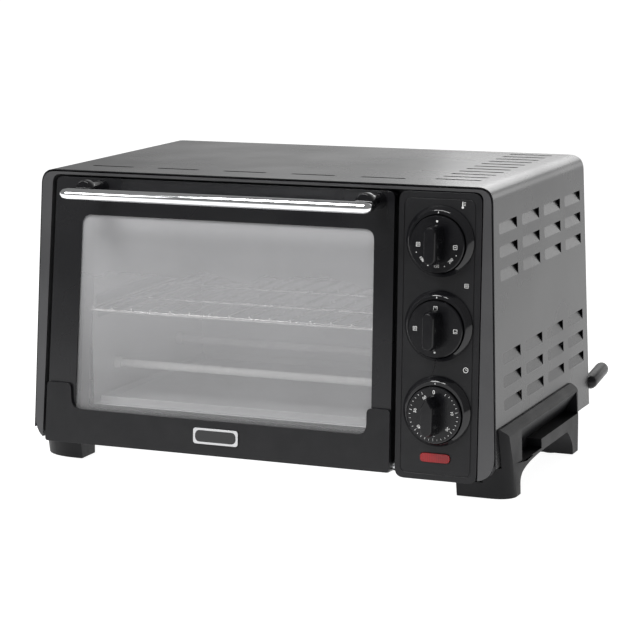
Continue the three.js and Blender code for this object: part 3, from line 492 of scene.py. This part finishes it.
class Marks:
    """Flat printed marks on one leaning face. Corners are (x, z) about the centre, in mm."""

    def __init__(self, centre, depth):
        self.centre = centre
        self.depth = depth - INK_LIFT
        self.mesh = bmesh.new()

    def spot(self, x, z, front):
        y = self.depth - (INK_THICK if front else 0)
        return self.mesh.verts.new(TO_ROW @ Vector((self.centre[0] + x * MM, y, self.centre[1] + z * MM)))

    def shape(self, corners):
        front = [self.spot(x, z, True) for x, z in corners]
        back = [self.spot(x, z, False) for x, z in corners]
        self.mesh.faces.new(front)
        self.mesh.faces.new(back[::-1])
        for i in range(len(corners)):
            j = (i + 1) % len(corners)
            self.mesh.faces.new((front[j], front[i], back[i], back[j]))

    def bar(self, x0, z0, x1, z1, width):
        along = Vector((x1 - x0, z1 - z0)).normalized() * width / 2
        side = Vector((-along.y, along.x))
        self.shape([(x0 + side.x, z0 + side.y), (x1 + side.x, z1 + side.y),
                    (x1 - side.x, z1 - side.y), (x0 - side.x, z0 - side.y)])

    def ring(self, x, z, radius, width, count=24):
        step = 2 * math.pi / count
        inner, outer = radius - width / 2, radius + width / 2
        for i in range(count):
            a, b = i * step, (i + 1) * step
            self.shape([(x + r * math.cos(t), z + r * math.sin(t))
                        for r, t in ((inner, a), (outer, a), (outer, b), (inner, b))])

    def dot(self, x, z, radius, count=12):
        turns = [2 * math.pi * i / count for i in range(count)]
        self.shape([(x + radius * math.cos(t), z + radius * math.sin(t)) for t in turns])

    def frame_box(self, x, z, half, width):
        for sx, sz, ex, ez in ((-1, -1, 1, -1), (1, -1, 1, 1), (1, 1, -1, 1), (-1, 1, -1, -1)):
            self.bar(x + sx * half, z + sz * half, x + ex * half, z + ez * half, width)

    def text(self, words, x, z, height, turn=0.0):
        curve = bpy.data.curves.new("words", "FONT")
        curve.body = words
        curve.size = height
        curve.align_x = "CENTER"
        curve.align_y = "CENTER"
        curve.resolution_u = 3
        holder = bpy.data.objects.new("words", curve)
        bpy.context.scene.collection.objects.link(holder)
        flat = holder.to_mesh()
        spin = Matrix.Rotation(turn, 2)
        base = [spin @ Vector((v.co.x, v.co.y)) + Vector((x, z)) for v in flat.vertices]
        made = [self.spot(p.x, p.y, True) for p in base]
        for polygon in flat.polygons:
            self.mesh.faces.new([made[i] for i in polygon.vertices])
        holder.to_mesh_clear()
        bpy.data.objects.remove(holder)
        bpy.data.curves.remove(curve)

    def finish(self, name, body, look=None, slot="ceramic"):
        bmesh.ops.recalc_face_normals(self.mesh, faces=self.mesh.faces)
        data = bpy.data.meshes.new(name)
        self.mesh.to_mesh(data)
        self.mesh.free()
        data.materials.append(look or INK_LOOK)
        piece = bpy.data.objects.new(name, data)
        bpy.context.scene.collection.objects.link(piece)
        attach(piece, body)
        return piece


def around(radius, degrees):
    """A point of the dial as (x, z), with 0 degrees at the top, going clockwise."""
    turn = math.radians(degrees)
    return radius * math.sin(turn), radius * math.cos(turn)


def dial(name):
    node = f"{name}_knob"
    centre = local_centre(f"{name}_shaft")
    return Marks(centre, face_depth(node, centre, *DIAL_RIM))


def oven_icon(marks, x, z, bars):
    """A small square with one bar inside for each offset in bars."""
    marks.frame_box(x, z, ICON_HALF, MARK_LINE)
    for offset in bars:
        marks.bar(x - 1.0, z + offset, x + 1.0, z + offset, MARK_LINE)


def thermostat_marks():
    marks = dial("thermostat")
    marks.dot(0, POINTER_RADIUS, 1.0)
    oven_icon(marks, *around(THERMOSTAT_ICON_RADIUS, 268), (0.5, -0.5))
    oven_icon(marks, *around(THERMOSTAT_ICON_RADIUS, 96), (0.0,))
    for degrees, words in ((226, "100"), (180, "150"), (136, "200")):
        x, z = around(NUMBER_RADIUS, degrees)
        marks.text(words, x, z, 3.6, math.radians(180 - degrees))
    for degrees in (248, 203, 158, 116):
        marks.dot(*around(POINTER_RADIUS, degrees), 0.45)
    return marks.finish("thermostat_dial_marks", "thermostat_control")


def function_marks():
    marks = dial("function")
    for degrees, bars in ((0, (0.5,)), (270, (0.5, -0.5)), (92, (-0.5,))):
        oven_icon(marks, *around(FUNCTION_ICON_RADIUS, degrees), bars)
    marks.dot(*around(POINTER_RADIUS, 180), 0.9)
    return marks.finish("function_dial_marks", "function_control")


def timer_marks():
    marks = dial("timer")
    for step in range(TIMER_TICKS):
        degrees = TIMER_START + step * TIMER_STEP
        inner = TICK_LONG if step % 5 == 0 else TICK_SHORT
        marks.bar(*around(inner, degrees), *around(TICK_END, degrees), 0.3)
    for step in range(1, 7):
        degrees = TIMER_START + step * 5 * TIMER_STEP
        x, z = around(TIMER_NUMBER_RADIUS, degrees)
        marks.text(str(step * 10), x, z, 3.8, math.radians(-degrees))
    marks.text("0", 0, 20.6, 5.0)
    return marks.finish("timer_dial_marks", "timer_control")


def bezel_painted_highlight_marks():
    # the white bar at the top of each bezel is a painted highlight, drawn in ink
    low, high, width = PAINTED_HIGHLIGHT_MARK
    for name in CONTROLS:
        node = f"{name}_bezel"
        centre = local_centre(node)
        marks = Marks(centre, face_depth(node, centre, *RING_CROWN))
        marks.bar(0, low, 0, high, width)
        marks.finish(f"{name}_painted_highlight_mark", "oven_body")


def panel_marks():
    """Small generic signs beside the knobs: a thermometer, an oven outline and a clock."""
    marks = Marks((0.0, 0.0), 0.0)
    marks.bar(199, 261.6, 199, 266.4, 0.7)
    marks.dot(199, 261.2, 1.1)
    for rise in (0.4, 1.7, 3.0):
        marks.bar(200.3, 262.6 + rise, 201.7, 262.6 + rise, 0.4)
    oven_icon(marks, 204, 192, (0.5, -0.5))
    marks.ring(205, 117, 2.2, 0.45)
    marks.bar(205, 117, 205, 118.4, 0.4)
    marks.bar(205, 117, 206.1, 117, 0.4)
    return marks.finish("panel_signs", "oven_body")


def badge_face():
    """A plain dark field that leaves the rim of the badge plate bright."""
    centre = local_centre("badge_plate")
    field = Marks(centre, min(p.y for p in local_points("badge_plate")))
    half, height, corner = BADGE_FIELD
    edge = []
    for sx, sz, first in ((1, 1, 0), (-1, 1, 90), (-1, -1, 180), (1, -1, 270)):
        for degrees in range(first, first + 91, 15):
            turn = math.radians(degrees)
            edge.append((sx * (half - corner) + corner * math.cos(turn),
                         sz * (height - corner) + corner * math.sin(turn)))
    field.shape(edge)
    return field.finish("badge_field", "door", LOOKS["gloss_plastic"], "gloss_plastic")


# ---------------------------------------------------------------- stage
def plane(name, size):
    mesh = bmesh.new()
    bmesh.ops.create_grid(mesh, x_segments=2, y_segments=2, size=size)
    data = bpy.data.meshes.new(name)
    mesh.to_mesh(data)
    mesh.free()
    piece = bpy.data.objects.new(name, data)
    bpy.context.scene.collection.objects.link(piece)
    return piece


def softbox(name, place, target, width, height, power):
    lamp = bpy.data.lights.new(name, "AREA")
    lamp.shape = "RECTANGLE"
    lamp.size = width
    lamp.size_y = height
    lamp.energy = power
    holder = bpy.data.objects.new(name, lamp)
    holder.location = place
    holder.rotation_euler = (Vector(target) - Vector(place)).to_track_quat("-Z", "Y").to_euler()
    bpy.context.scene.collection.objects.link(holder)


def surroundings():
    """A white studio that is brightest behind the oven and to its right, and dim in front of it."""
    world = bpy.data.worlds.new("studio")
    world.use_nodes = True
    tree = world.node_tree
    background = tree.nodes["Background"]
    background.inputs["Color"].default_value = (1.0, 1.0, 1.0, 1.0)
    direction = tree.nodes.new("ShaderNodeTexCoord").outputs["Generated"]
    along = tree.nodes.new("ShaderNodeVectorMath")
    along.operation = "DOT_PRODUCT"
    along.inputs[1].default_value = BRIGHT_SIDE.normalized()
    level = tree.nodes.new("ShaderNodeMapRange")
    level.inputs["From Min"].default_value = WORLD_EDGE
    level.inputs["From Max"].default_value = 1.0
    level.inputs["To Min"].default_value = WORLD_DIM
    level.inputs["To Max"].default_value = WORLD_BRIGHT
    tree.links.new(direction, along.inputs[0])
    tree.links.new(along.outputs["Value"], level.inputs["Value"])
    tree.links.new(level.outputs["Result"], background.inputs["Strength"])
    bpy.context.scene.world = world


def studio():
    floor = plane("floor", FLOOR_REACH)
    floor.data.materials.append(floor_look())
    surroundings()
    for box in SOFTBOXES:
        softbox(*box)
    bpy.context.scene.view_settings.view_transform = "Standard"


def camera():
    data = bpy.data.cameras.new("camera")
    data.lens = CAMERA_LENS
    data.sensor_width = SENSOR
    data.clip_start = 0.05
    data.clip_end = 60
    holder = bpy.data.objects.new("camera", data)
    forward = (CAMERA_TARGET - CAMERA_PLACE).normalized()
    right = forward.cross(Vector((0, 0, 1))).normalized()
    up = right.cross(forward)
    tilted_right = right * math.cos(CAMERA_ROLL) + up * math.sin(CAMERA_ROLL)
    tilted_up = up * math.cos(CAMERA_ROLL) - right * math.sin(CAMERA_ROLL)
    turn = Matrix((tilted_right, tilted_up, -forward)).transposed()
    holder.matrix_world = Matrix.Translation(CAMERA_PLACE) @ turn.to_4x4()
    bpy.context.scene.collection.objects.link(holder)
    bpy.context.scene.camera = holder


camera()
studio()
dress_cad_nodes()
thermostat_marks()
function_marks()
timer_marks()
bezel_painted_highlight_marks()
panel_marks()
badge_face()
